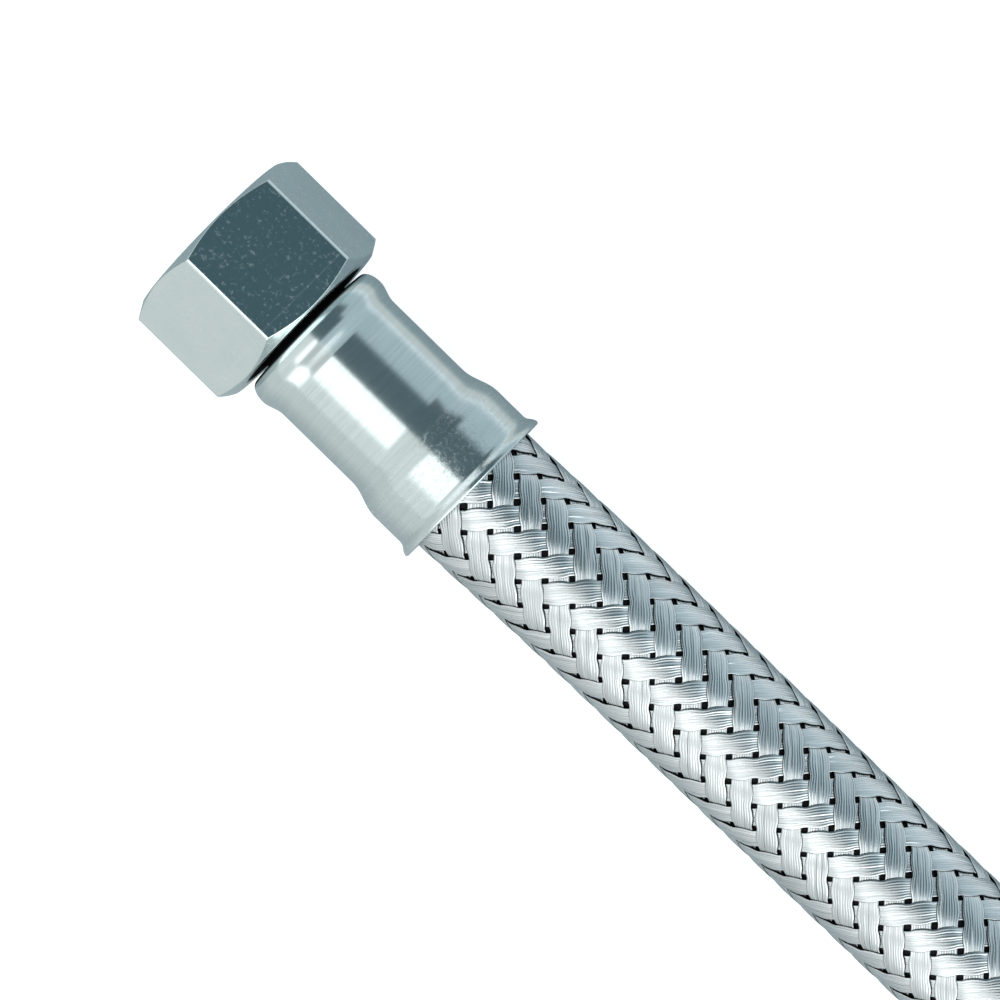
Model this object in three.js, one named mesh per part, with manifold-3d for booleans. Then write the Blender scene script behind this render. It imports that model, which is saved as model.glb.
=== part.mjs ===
import * as THREE from 'three';
import { mergeVertices } from 'three/addons/utils/BufferGeometryUtils.js';
import Module from 'manifold-3d';

// A flexible water hose: a rubber tube in a braided wire sleeve. At each end a ferrule crimps both
// onto the barbed tail of an insert, and a swivel nut turns on that insert's neck.
// Millimetres. X runs along the hose, Z is up, and both nuts lie on a flat at z = 0.

// The whole hose
const overallLength = 300; // from one nut's mouth to the other's
const clearance = 0.3; // between pieces that touch on the real hose

// Swivel nut, with the socket of a half-inch pipe thread drawn at its minor radius
const nutAcrossFlats = 24;
const nutLength = 15.65;
const nutChamferDegrees = 30;
const nutFaceRadius = 11.7; // the round end face inside the chamfer
const threadMinorRadius = 9.3;
const threadLeadIn = 0.5;
const socketDepth = 12.4; // mouth to inner shoulder
const swivelClearance = 0.4; // nut round the insert's neck and flange

// Flat rubber gasket
const gasketThickness = 2;
const gasketBoreRadius = 5.5;

// Insert: sealing flange, neck and barbed tail in one turned piece
const insertBoreRadius = 4.75;
const flangeThickness = 1.9;
const neckRadius = 6.6;
const barbRadius = 6.3;
const barbDepth = 0.55;
const barbPitch = 4.6;
const tailInset = 2.1; // the tail ends this far inside the ferrule
const tailTaper = 1.2;

// Ferrule, from its front floor to its flared lip
const nutToFerrule = 0.76;
const ferruleWall = 0.5;
const ferruleFloor = 0.8;
const shoulderFaceRadius = 9; // where the flat front face turns into the round of the shoulder
const shoulderRise = 0.63; // crest of the front shoulder above the crimped waist
const shoulderUpLength = 2.2;
const shoulderDownLength = 2.8;
const waistLength = 11.7;
const rampLength = 4.8;
const skirtGap = 0.6; // free braid to the skirt behind the waist
const skirtLength = 4.4;
const lipFlare = 0.73;
const lipLength = 1.8;

// Hose: wire braid round a rubber tube
const hoseRadius = 9.5;
const braidWall = 0.7;
const crimpedBraidWall = 0.5;
const crimpedTubeWall = 1.07;
const spreadStart = 1; // the hose is still squeezed this far behind the waist
const spreadLength = 3;
const tongueLength = 2; // of each crimped end, inside the wall of the free stretch
const tongueInset = 0.1;
const floorClearance = 0.05;

// The route of the hose's axis, chosen by hand: x, y and the share of the way down to the floor.
// It leaves both ferrules straight, comes down under its own weight to lie along the middle, and
// bows a little to one side, as a stiff hose that was kept in a roll does.
const hoseRoute = [
  [-112.89, 0, 0],
  [-104, 0.1, 0],
  [-97, 0.36, 0],
  [-90, 0.6, 0.03],
  [-80, 0.9, 0.2],
  [-70, 1.13, 0.47],
  [-60, 1.33, 0.73],
  [-50, 1.52, 0.91],
  [-40, 1.68, 0.99],
  [-20, 1.92, 1],
  [0, 2, 1],
  [20, 1.92, 1],
  [40, 1.68, 0.99],
  [50, 1.52, 0.91],
  [60, 1.33, 0.73],
  [70, 1.13, 0.47],
  [80, 0.9, 0.2],
  [90, 0.6, 0.03],
  [97, 0.36, 0],
  [104, 0.1, 0],
  [112.89, 0, 0],
];

// Facets
const roundSides = 32;
const insertSides = 24;
const hoseSides = 12;
const hoseSteps = 20;
const easeSteps = 4;

// Places along a fitting, counted inwards from its nut's mouth
const flangeRear = socketDepth - clearance;
const flangeFront = flangeRear - flangeThickness;
const gasketRear = flangeFront - clearance;
const gasketFront = gasketRear - gasketThickness;
const ferruleFront = nutLength + nutToFerrule;
const neckEnd = ferruleFront + ferruleFloor;
const hoseStart = neckEnd + clearance;
const shoulderCrest = ferruleFront + shoulderUpLength;
const waistStart = shoulderCrest + shoulderDownLength;
const waistEnd = waistStart + waistLength;
const skirtStart = waistEnd + rampLength;
const lipStart = skirtStart + skirtLength;
const ferruleRear = lipStart + lipLength;
const tailEnd = ferruleRear - tailInset;
const spreadFrom = waistEnd + spreadStart;
const freeStart = spreadFrom + spreadLength;

// Radii that follow from the pieces inside. The hose is drawn with few sides, so its radii are
// taken at its corners, and its bore is widened until its flats clear the barbs.
const sideShare = Math.cos(Math.PI / hoseSides);
const tubeBoreRadius = (barbRadius + clearance) / sideShare;
const crimpedTubeRadius = tubeBoreRadius + crimpedTubeWall;
const crimpedBraidBore = crimpedTubeRadius + clearance;
const crimpedBraidRadius = crimpedBraidBore + crimpedBraidWall;
const waistRadius = crimpedBraidRadius + clearance + ferruleWall;
const crestRadius = waistRadius + shoulderRise;
const skirtRadius = hoseRadius + skirtGap + ferruleWall;
const lipRadius = skirtRadius + lipFlare;
const braidBoreRadius = hoseRadius - braidWall;
const tubeRadius = braidBoreRadius - clearance;
const nutHoleRadius = neckRadius + swivelClearance;

// Places in space
const axisHeight = nutAcrossFlats / 2;
const halfLength = overallLength / 2;
const restHeight = hoseRadius + floorClearance;

// Materials
const platedBrass = new THREE.MeshStandardMaterial({ color: 0xb3bfc1, metalness: 1, roughness: 0.22 });
const bareBrass = new THREE.MeshStandardMaterial({ color: 0xb59a5b, metalness: 1, roughness: 0.35 });
const stainless = new THREE.MeshStandardMaterial({ color: 0xc0cacc, metalness: 1, roughness: 0.18 });
const wireBraid = new THREE.MeshStandardMaterial({ color: 0xaab4b7, metalness: 1, roughness: 0.4 });
const blackRubber = new THREE.MeshStandardMaterial({ color: 0x17181a, metalness: 0, roughness: 0.8 });
const sealRubber = new THREE.MeshStandardMaterial({ color: 0x222426, metalness: 0, roughness: 0.75 });

const wasm = await Module();
wasm.setup();

// A three.js geometry as a solid that can be joined and cut
function solidFrom(geometry) {
  const plain = geometry.clone();
  plain.deleteAttribute('normal');
  plain.deleteAttribute('uv');
  const merged = mergeVertices(plain, 1e-4);
  const corners = merged.index.array;
  const kept = [];
  for (let i = 0; i < corners.length; i += 3) {
    const [a, b, c] = [corners[i], corners[i + 1], corners[i + 2]];
    if (a !== b && b !== c && c !== a) {
      kept.push(a, b, c);
    }
  }
  return new wasm.Manifold(new wasm.Mesh({
    numProp: 3,
    vertProperties: new Float32Array(merged.attributes.position.array),
    triVerts: new Uint32Array(kept),
  }));
}

function geometryFrom(solid) {
  const { vertProperties, triVerts } = solid.getMesh();
  const geometry = new THREE.BufferGeometry();
  geometry.setAttribute('position', new THREE.BufferAttribute(vertProperties, 3));
  geometry.setIndex(new THREE.BufferAttribute(triVerts, 1));
  geometry.computeVertexNormals();
  return geometry;
}

// A piece turned about the X axis from its closed outline: [x, radius] points, first along the
// outside from front to rear and then back along the bore
function turned(outline, sides) {
  const profile = [...outline, outline[0]].map(([x, radius]) => new THREE.Vector2(radius, x));
  return new THREE.LatheGeometry(profile, sides).rotateZ(-Math.PI / 2);
}

// Points that ease from one [x, radius] to the next with a level start and end
function eased([fromX, fromRadius], [toX, toRadius]) {
  const points = [];
  for (let i = 1; i <= easeSteps; i += 1) {
    const share = i / easeSteps;
    const level = (1 - Math.cos(Math.PI * share)) / 2;
    points.push([fromX + (toX - fromX) * share, fromRadius + (toRadius - fromRadius) * level]);
  }
  return points;
}

// Points of an ellipse's arc about a centre, from one angle to another in degrees
function arc([centreX, centreRadius], halfLengthwise, halfHeight, fromDegrees, toDegrees) {
  const points = [];
  for (let i = 0; i <= easeSteps; i += 1) {
    const angle = THREE.MathUtils.degToRad(fromDegrees + ((toDegrees - fromDegrees) * i) / easeSteps);
    points.push([centreX + halfLengthwise * Math.cos(angle), centreRadius + halfHeight * Math.sin(angle)]);
  }
  return points;
}

// Swivel nut: a hexagon with flats above and below, chamfered at both ends by a turned barrel
function swivelNut() {
  const cornerRadius = nutAcrossFlats / Math.sqrt(3);
  const hexagon = new THREE.Shape();
  for (let i = 0; i < 6; i += 1) {
    const angle = (Math.PI / 3) * i;
    const corner = [cornerRadius * Math.sin(angle + Math.PI / 6), cornerRadius * Math.cos(angle + Math.PI / 6)];
    if (i === 0) {
      hexagon.moveTo(...corner);
    } else {
      hexagon.lineTo(...corner);
    }
  }
  const bar = new THREE.ExtrudeGeometry(hexagon, { depth: nutLength, bevelEnabled: false });
  bar.rotateY(Math.PI / 2).rotateX(Math.PI / 2);

  const barrelRadius = cornerRadius + 1;
  const chamferLength = (barrelRadius - nutFaceRadius) * Math.tan(THREE.MathUtils.degToRad(nutChamferDegrees));
  const barrel = turned([
    [0, 0],
    [0, nutFaceRadius],
    [chamferLength, barrelRadius],
    [nutLength - chamferLength, barrelRadius],
    [nutLength, nutFaceRadius],
    [nutLength, 0],
  ], roundSides);

  const socket = turned([
    [-1, 0],
    [-1, threadMinorRadius + threadLeadIn],
    [0, threadMinorRadius + threadLeadIn],
    [threadLeadIn, threadMinorRadius],
    [socketDepth, threadMinorRadius],
    [socketDepth, nutHoleRadius],
    [nutLength + 1, nutHoleRadius],
    [nutLength + 1, 0],
  ], roundSides);

  return geometryFrom(solidFrom(bar).intersect(solidFrom(barrel)).subtract(solidFrom(socket)));
}

function gasket() {
  const radius = threadMinorRadius - clearance;
  return turned([
    [gasketFront, radius],
    [gasketRear, radius],
    [gasketRear, gasketBoreRadius],
    [gasketFront, gasketBoreRadius],
  ], roundSides);
}

// Insert: the flange seals on the gasket, the nut turns on the neck, and the barbs hold the tube
function insert() {
  const flangeRadius = threadMinorRadius - swivelClearance;
  const outline = [
    [flangeFront, flangeRadius],
    [flangeRear, flangeRadius],
    [flangeRear, neckRadius],
    [neckEnd, neckRadius],
    [neckEnd, barbRadius - barbDepth],
  ];
  const barbsEnd = tailEnd - tailTaper;
  const barbCount = Math.floor((barbsEnd - hoseStart) / barbPitch);
  const firstBarb = barbsEnd - barbCount * barbPitch;
  for (let i = 0; i < barbCount; i += 1) {
    const start = firstBarb + i * barbPitch;
    outline.push([start, barbRadius - barbDepth]);
    outline.push([start, barbRadius]);
    outline.push([start + barbPitch * 0.2, barbRadius]);
    outline.push([start + barbPitch * 0.85, barbRadius - barbDepth]);
  }
  outline.push([barbsEnd, barbRadius - barbDepth]);
  outline.push([tailEnd, (barbRadius - barbDepth + insertBoreRadius) / 2]);
  outline.push([tailEnd, insertBoreRadius]);
  outline.push([flangeFront, insertBoreRadius]);
  return turned(outline, insertSides);
}

// Ferrule: a thin stainless cap with a hole for the neck, a rounded shoulder, a waist crimped on
// the braid, and a wider skirt that ends in a flared lip
function ferrule() {
  const shoulderHeight = crestRadius - shoulderFaceRadius;
  const skirtEnd = [lipStart, skirtRadius];
  const lipEdge = ferruleWall / 2;
  const lipCrest = [ferruleRear - lipEdge, lipRadius];
  const outside = [
    ...arc([shoulderCrest, shoulderFaceRadius], shoulderUpLength, shoulderHeight, 180, 90),
    ...eased([shoulderCrest, crestRadius], [waistStart, waistRadius]),
    [waistEnd, waistRadius],
    ...eased([waistEnd, waistRadius], [skirtStart, skirtRadius]),
    skirtEnd,
    ...eased(skirtEnd, lipCrest),
  ];
  const inside = outside
    .filter(([x]) => x > neckEnd)
    .map(([x, radius]) => [x, radius - ferruleWall])
    .reverse();
  return turned([
    ...outside,
    ...arc([lipCrest[0], lipRadius - lipEdge], lipEdge, lipEdge, 60, -60),
    ...inside,
    [neckEnd, shoulderFaceRadius],
    [neckEnd, neckRadius + clearance],
    [ferruleFront, neckRadius + clearance],
  ], roundSides);
}

// One layer of the hose: a ring between two radii, free along the route and squeezed in the ferrules
function hoseLayer(free, crimped) {
  const stretch = (halfLength - freeStart) / hoseRoute.at(-1)[0];
  const points = hoseRoute.map(([x, y, share]) => new THREE.Vector3(
    x * stretch,
    y,
    axisHeight - share * (axisHeight - restHeight),
  ));
  const ring = new THREE.Shape(polygon(free.outer));
  ring.holes.push(new THREE.Path(polygon(free.inner)));
  const stretchAlongRoute = new THREE.ExtrudeGeometry(ring, {
    steps: hoseSteps,
    extrudePath: new THREE.CatmullRomCurve3(points),
  });
  let layer = solidFrom(stretchAlongRoute);

  const crimpedEnd = turned([
    [hoseStart, crimped.outer],
    [spreadFrom, crimped.outer],
    [freeStart, free.outer - tongueInset],
    [freeStart + tongueLength, free.outer - tongueInset],
    [freeStart + tongueLength, free.inner + tongueInset],
    [freeStart, free.inner + tongueInset],
    [spreadFrom, crimped.inner],
    [hoseStart, crimped.inner],
  ], hoseSides);
  for (const side of ['left', 'right']) {
    layer = layer.add(solidFrom(crimpedEnd.clone().applyMatrix4(fittingPlace(side))));
  }
  return geometryFrom(layer);
}

function polygon(radius) {
  const corners = [];
  for (let i = 0; i < hoseSides; i += 1) {
    const angle = (2 * Math.PI * i) / hoseSides;
    corners.push(new THREE.Vector2(radius * Math.cos(angle), radius * Math.sin(angle)));
  }
  return corners;
}

// Where a fitting stands: the left one faces -X and the right one is turned half round to face +X
function fittingPlace(side) {
  const towards = side === 'left' ? -1 : 1;
  const turn = new THREE.Matrix4().makeRotationZ(side === 'left' ? 0 : Math.PI);
  return new THREE.Matrix4().makeTranslation(towards * halfLength, 0, axisHeight).multiply(turn);
}

function namedMesh(name, geometry, material) {
  const mesh = new THREE.Mesh(geometry, material);
  mesh.name = name;
  return mesh;
}

// One end of the hose: nut, gasket, insert and ferrule on a common axis
function fitting(side) {
  const group = new THREE.Group();
  group.applyMatrix4(fittingPlace(side));
  group.add(
    namedMesh(`swivel_nut_${side}`, swivelNut(), platedBrass),
    namedMesh(`gasket_${side}`, gasket(), sealRubber),
    namedMesh(`insert_${side}`, insert(), bareBrass),
    namedMesh(`ferrule_${side}`, ferrule(), stainless),
  );
  return group;
}

const hose = new THREE.Group();
hose.add(fitting('left'), fitting('right'));
hose.add(namedMesh('inner_tube', hoseLayer(
  { outer: tubeRadius, inner: tubeBoreRadius },
  { outer: crimpedTubeRadius, inner: tubeBoreRadius },
), blackRubber));
hose.add(namedMesh('braid_sleeve', hoseLayer(
  { outer: hoseRadius, inner: braidBoreRadius },
  { outer: crimpedBraidRadius, inner: crimpedBraidBore },
), wireBraid));

export default hose;
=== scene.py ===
# %% [markdown]
# A braided flexible water hose
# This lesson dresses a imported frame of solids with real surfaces. The frame says where every piece is and
# what moves, and it is never moved or resized here. Each piece gets a finer mesh of the same form, and a
# finish.

# %% Load the frame
import math
from collections import namedtuple

import bpy
import numpy as np
from mathutils import Matrix, Vector


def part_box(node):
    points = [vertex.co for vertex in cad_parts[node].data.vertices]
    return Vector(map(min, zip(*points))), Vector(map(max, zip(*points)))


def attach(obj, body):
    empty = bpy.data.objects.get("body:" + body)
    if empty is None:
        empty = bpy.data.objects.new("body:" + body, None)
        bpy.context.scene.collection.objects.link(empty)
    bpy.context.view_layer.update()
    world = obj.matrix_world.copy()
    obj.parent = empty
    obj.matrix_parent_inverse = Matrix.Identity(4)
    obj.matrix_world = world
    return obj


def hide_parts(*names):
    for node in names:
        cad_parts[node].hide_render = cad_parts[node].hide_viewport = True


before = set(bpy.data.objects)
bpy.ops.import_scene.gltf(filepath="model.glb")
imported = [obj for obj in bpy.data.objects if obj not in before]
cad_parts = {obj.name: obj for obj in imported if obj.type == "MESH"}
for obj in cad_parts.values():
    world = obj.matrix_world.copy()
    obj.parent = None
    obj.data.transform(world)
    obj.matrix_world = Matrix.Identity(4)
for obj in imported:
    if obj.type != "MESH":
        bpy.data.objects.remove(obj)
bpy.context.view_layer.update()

# %% [markdown]
# The sizes come from the frame, so that a fitting never drifts off its solid. The boxes of the left nut,
# ferrule, gasket and insert, and of the tube, give the mouth, the axis and the places along the fitting.
# The right fitting is the left one turned half round, so every fitting is drawn once, counted in metres
# inwards from its nut's mouth.

# %% Places read from the frame
MM = 0.001
nut_low, nut_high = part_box("swivel_nut_left")
ferrule_low, ferrule_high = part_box("ferrule_left")
gasket_low, gasket_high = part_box("gasket_left")
insert_low, insert_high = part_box("insert_left")
tube_low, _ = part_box("inner_tube")

mouth_x = nut_low.x
axis_height = (nut_low.z + nut_high.z) / 2
half_length = -mouth_x
nut_length = nut_high.x - nut_low.x
flats_radius = (nut_high.z - nut_low.z) / 2
ferrule_front = ferrule_low.x - mouth_x
ferrule_rear = ferrule_high.x - mouth_x
lip_radius = (ferrule_high.y - ferrule_low.y) / 2
gasket_front = gasket_low.x - mouth_x
gasket_rear = gasket_high.x - mouth_x
gasket_radius = (gasket_high.y - gasket_low.y) / 2
flange_front = insert_low.x - mouth_x
flange_radius = (insert_high.y - insert_low.y) / 2
tail_end = insert_high.x - mouth_x
hose_start = tube_low.x - mouth_x
print(f"axis {axis_height / MM:.2f} mm up")
print(f"ferrule {ferrule_front / MM:.2f} to {ferrule_rear / MM:.2f} mm in")

# %% [markdown]
# The camera looks almost straight down on the hose, which runs across the picture from the upper left to
# the lower right. A long lens from some way off keeps both sides of the hose parallel, as a product
# picture does. A camera can be turned by hand until it looks right. Here its own axes are worked out from
# two angles instead, and one known point, the middle of the nut's mouth, places the picture.

# %% Camera
PICTURE_PIXELS = 1000
PIXEL_SIZE = 0.12042 * MM
ELEVATION = math.radians(77.8)
AXIS_FALL = math.radians(44.41)
MOUTH_PIXEL = (211.2, 233.6)
LENS_MM = 178
SENSOR_MM = 36
NEAREST_SEEN = 0.1
FARTHEST_SEEN = 20

towards_camera = Vector((0, -math.cos(ELEVATION), math.sin(ELEVATION)))
level_up = Vector((0, math.sin(ELEVATION), math.cos(ELEVATION)))
picture_right = Vector((1, 0, 0)) * math.cos(AXIS_FALL) + level_up * math.sin(AXIS_FALL)
picture_up = -Vector((1, 0, 0)) * math.sin(AXIS_FALL) + level_up * math.cos(AXIS_FALL)
distance = PICTURE_PIXELS * PIXEL_SIZE * LENS_MM / SENSOR_MM
mouth = Vector((mouth_x, 0, axis_height))
across = (PICTURE_PIXELS / 2 - MOUTH_PIXEL[0]) * PIXEL_SIZE
down = (PICTURE_PIXELS / 2 - MOUTH_PIXEL[1]) * PIXEL_SIZE
aim = mouth + picture_right * across - picture_up * down

camera_data = bpy.data.cameras.new("camera")
camera_data.lens = LENS_MM
camera_data.sensor_width = SENSOR_MM
camera_data.clip_start = NEAREST_SEEN
camera_data.clip_end = FARTHEST_SEEN
camera = bpy.data.objects.new("camera", camera_data)
bpy.context.scene.collection.objects.link(camera)
turned_camera = Matrix((picture_right, picture_up, towards_camera)).transposed().to_4x4()
camera.matrix_world = Matrix.Translation(aim + towards_camera * distance) @ turned_camera
bpy.context.scene.camera = camera
bpy.context.scene.view_settings.view_transform = "Standard"
print(f"camera {distance:.3f} m from the hose")

# %% [markdown]
# The hose is the cord of this part. Its axis follows listed points, the same as the solid's:
# straight out of each ferrule, then down by its own weight until its middle lies on the floor, with a
# slight bow to one side. A smooth curve through them is sampled finely and measured, so that later steps
# can ask for the centre and the directions across the hose at any distance along it.

# %% Route of the hose
ROUTE = [
    (-0.11289, 0, 0.012),
    (-0.104, 0.0001, 0.012),
    (-0.097, 0.00036, 0.012),
    (-0.09, 0.0006, 0.0119265),
    (-0.08, 0.0009, 0.01151),
    (-0.07, 0.00113, 0.0108485),
    (-0.06, 0.00133, 0.0102115),
    (-0.05, 0.00152, 0.0097705),
    (-0.04, 0.00168, 0.0095745),
    (-0.02, 0.00192, 0.00955),
    (0, 0.002, 0.00955),
    (0.02, 0.00192, 0.00955),
    (0.04, 0.00168, 0.0095745),
    (0.05, 0.00152, 0.0097705),
    (0.06, 0.00133, 0.0102115),
    (0.07, 0.00113, 0.0108485),
    (0.08, 0.0009, 0.01151),
    (0.09, 0.0006, 0.0119265),
    (0.097, 0.00036, 0.012),
    (0.104, 0.0001, 0.012),
    (0.11289, 0, 0.012),
]


def smooth_through(points, steps=24):
    """Points of a smooth curve through the given ones, from the slope at each point."""
    given = np.array(points, float)
    span = np.linalg.norm(np.diff(given, axis=0), axis=1)
    knots = np.concatenate([[0], np.cumsum(span)])
    slopes = np.gradient(given, knots, axis=0)
    made = []
    for i in range(len(given) - 1):
        t = np.linspace(0, 1, steps, endpoint=False)[:, None]
        made.append(
            (2 * t**3 - 3 * t**2 + 1) * given[i]
            + (t**3 - 2 * t**2 + t) * span[i] * slopes[i]
            + (-2 * t**3 + 3 * t**2) * given[i + 1]
            + (t**3 - t**2) * span[i] * slopes[i + 1]
        )
    return np.vstack([*made, given[-1:]])


hose_end = half_length - hose_start
inside_left = (-hose_end, 0, axis_height)
inside_right = (hose_end, 0, axis_height)
axis_line = smooth_through([inside_left, *ROUTE, inside_right])
axis_step = np.linalg.norm(np.diff(axis_line, axis=0), axis=1)
axis_along = hose_start + np.concatenate([[0], np.cumsum(axis_step)])
axis_ahead = np.gradient(axis_line, axis_along, axis=0)
hose_total = axis_along[-1] + hose_start


# %% Places on the hose
def along_axis(values, along):
    """Values kept for the axis's points, read at any distance along it."""
    return np.stack([np.interp(along, axis_along, values[:, i]) for i in range(3)], axis=-1)


def on_hose(along, angle, radius):
    """Points at a distance from the left mouth, an angle from straight up towards +Y, and a radius."""
    ahead = along_axis(axis_ahead, along)
    ahead /= np.linalg.norm(ahead, axis=-1, keepdims=True)
    level = np.stack([-ahead[..., 1], ahead[..., 0], np.zeros(ahead.shape[:-1])], axis=-1)
    level /= np.linalg.norm(level, axis=-1, keepdims=True)
    upward = np.cross(ahead, level)
    out = upward * np.cos(angle)[..., None] + level * np.sin(angle)[..., None]
    return along_axis(axis_line, along) + out * np.asarray(radius)[..., None]


print(f"the axis comes down to {axis_line[:, 2].min() / MM:.2f} mm above the floor")

# %% [markdown]
# Nearly every piece here is a net of rows and columns: a turned piece is a profile carried round the
# axis, a tube is rings along a line, and a braided strand is a small section carried along its path. One
# helper turns such a net of points into a closed mesh. Another joins nets into one piece and marks its
# sharp edges, so that the rest is shaded smoothly.

# %% Nets of points into meshes
SHARP_DEGREES = 40


def closed_net(points, loop_rows=False):
    """Vertices and faces of rows x columns points. Columns close, and rows close too or get end caps."""
    rows, columns = points.shape[:2]
    index = np.arange(rows * columns).reshape(rows, columns)
    upper = np.roll(index, -1, axis=0) if loop_rows else index[1:]
    lower = index if loop_rows else index[:-1]
    corners = [lower, np.roll(lower, -1, axis=1), np.roll(upper, -1, axis=1), upper]
    faces = np.stack(corners, axis=-1).reshape(-1, 4)
    caps = [] if loop_rows else [index[0][::-1], index[-1]]
    return points.reshape(-1, 3), faces, caps


def add_mesh(name, parts, sharp_degrees=None):
    """One mesh object from several (vertices, quads, caps) parts."""
    vertices, corners, sizes, start = [], [], [], 0
    for points, faces, caps in parts:
        vertices.append(points)
        corners.append((faces + start).ravel())
        sizes.append(np.full(len(faces), 4))
        for cap in caps:
            corners.append(np.asarray(cap) + start)
            sizes.append(np.array([len(cap)]))
        start += len(points)
    vertices, corners, sizes = map(np.concatenate, (vertices, corners, sizes))
    mesh = bpy.data.meshes.new(name)
    mesh.vertices.add(len(vertices))
    mesh.vertices.foreach_set("co", vertices.astype(np.float32).ravel())
    mesh.loops.add(len(corners))
    mesh.loops.foreach_set("vertex_index", corners.astype(np.int32))
    mesh.polygons.add(len(sizes))
    starts = np.concatenate([[0], np.cumsum(sizes)[:-1]])
    mesh.polygons.foreach_set("loop_start", starts.astype(np.int32))
    mesh.polygons.foreach_set("loop_total", sizes.astype(np.int32))
    mesh.update(calc_edges=True)
    mesh.polygons.foreach_set("use_smooth", np.ones(len(sizes), bool))
    if sharp_degrees is not None:
        mesh.set_sharp_from_angle(angle=math.radians(sharp_degrees))
    piece = bpy.data.objects.new(name, mesh)
    bpy.context.scene.collection.objects.link(piece)
    triangles = int((sizes - 2).sum())
    print(f"{name}: {len(vertices)} points, {triangles} triangles")
    return piece


# %% [markdown]
# Ferrules, inserts and gaskets are round about the hose's axis. A Screw modifier could turn one of them
# from its outline. This helper does it for both ends: it takes the outline of the left fitting's piece,
# and for the right one it turns the points half round.


# %% Turned pieces
def fitting_points(along, angle, radius, side):
    """Points round the left fitting's axis, turned half round for the right one."""
    turn = -1 if side == "left" else 1
    x = turn * (half_length - along)
    y = -turn * radius * np.sin(angle)
    return np.stack(np.broadcast_arrays(x, y, axis_height + radius * np.cos(angle)), axis=-1)


def turned(name, outline, side, columns=128):
    """A piece turned about the hose's axis from a closed outline of (along, radius) points."""
    profile = np.array(outline, float)
    angle = np.linspace(0, 2 * math.pi, columns, endpoint=False)[None, :]
    points = fitting_points(profile[:, :1], angle, profile[:, 1:], side)
    return add_mesh(name, [closed_net(points, loop_rows=True)], SHARP_DEGREES)


# %% [markdown]
# A finish is a small tree of shader nodes. One helper adds a node, sets its inputs by name or by place
# and links the ones that are given as other nodes' outputs, which keeps each material to a few readable
# lines. The others build on it: the result of a sum, a smooth step, a mix of two colours.

# %% Shader helpers
MIX_SHARE, MIX_FIRST, MIX_SECOND = 0, 6, 7
MIX_RESULT = 2


def empty_tree(owner):
    """The node tree of a material or a world, with nothing in it."""
    owner.use_nodes = True
    owner.node_tree.nodes.clear()
    return owner.node_tree


def add_node(tree, kind, inputs=None, **settings):
    """A shader node with its settings made and its inputs set or linked."""
    node = tree.nodes.new(kind)
    for key, value in settings.items():
        setattr(node, key, value)
    for key, value in (inputs or {}).items():
        if isinstance(value, bpy.types.NodeSocket):
            tree.links.new(value, node.inputs[key])
        else:
            node.inputs[key].default_value = value
    return node


def calculate(tree, operation, *values):
    """The result of one Math node."""
    node = add_node(tree, "ShaderNodeMath", dict(enumerate(values)), operation=operation)
    return node.outputs[0]


def smooth_step(tree, value, low, high, start=0.0, end=1.0):
    """A value that goes smoothly from start at low to end at high."""
    limits = {"Value": value, "From Min": low, "From Max": high, "To Min": start, "To Max": end}
    node = add_node(tree, "ShaderNodeMapRange", limits, interpolation_type="SMOOTHSTEP")
    return node.outputs["Result"]


def mix_color(tree, share, first, second):
    """A colour between two. The Mix node names its sockets alike, so they are asked for by place."""
    inputs = {MIX_SHARE: share, MIX_FIRST: first, MIX_SECOND: second}
    return add_node(tree, "ShaderNodeMix", inputs, data_type="RGBA").outputs[MIX_RESULT]


def new_material(name):
    """An empty material, its node tree and its Principled shader."""
    material = bpy.data.materials.new(name)
    tree = empty_tree(material)
    shader = add_node(tree, "ShaderNodeBsdfPrincipled")
    add_node(tree, "ShaderNodeOutputMaterial", {"Surface": shader.outputs[0]})
    return material, tree, shader


# %% [markdown]
# Bare metal has no colour of its own to show: it shows the room. A few lamps in an empty world would
# leave most of it black. So the studio is drawn as the metal sees it, by two measures of a direction. The
# roll goes round the hose, in degrees from straight up, below 0 on the camera's side and above 0 on the
# far side. The reach goes along the hose, from -1 at the end that the camera sees to 1 at the other end.
# The room's walls come first: white on the near side, bluish on the far side with a bright window low
# down, and bright at the seen end.

# %% Studio walls
NEAR_COLOR = (0.99, 1.01, 1.0, 1)
FAR_COLOR = (0.56, 0.67, 0.73, 1)
FAR_ROLL = (-15, -11)
WINDOW_COLOR = (0.95, 1.04, 1.1, 1)
WINDOW_ROLL = (74, 88)
END_COLOR = (1.4, 1.42, 1.45, 1)
END_REACH = (-0.78, -0.96)

world = bpy.data.worlds.new("studio")
bpy.context.scene.world = world
sky = empty_tree(world)
looking = add_node(sky, "ShaderNodeTexCoord").outputs["Generated"]
direction = add_node(sky, "ShaderNodeSeparateXYZ", {0: looking})
reach = direction.outputs["X"]
roll = calculate(sky, "DEGREES", calculate(sky, "ARCTAN2", direction.outputs["Y"], direction.outputs["Z"]))

room = mix_color(sky, smooth_step(sky, roll, *FAR_ROLL), NEAR_COLOR, FAR_COLOR)
room = mix_color(sky, smooth_step(sky, roll, *WINDOW_ROLL), room, WINDOW_COLOR)
room = mix_color(sky, smooth_step(sky, reach, *END_REACH), room, END_COLOR)
print(f"far wall from a roll of {FAR_ROLL[1]} degrees, window from {WINDOW_ROLL[1]}")

# %% [markdown]
# Then come the lights and the dark places, each a patch with soft limits in roll and reach, painted in
# this order. A white soft box hangs on the near side, and its dimmer side runs on towards the far end.
# The ceiling is dark and stops short of that end, where a lamp and a low light shine, and there is a dark
# corner above the far wall. Strands wound one way mirror the room from one corner to the other, and
# strands wound the other way mirror it across those corners. That is why one set shines where the other
# stays dark.

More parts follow.
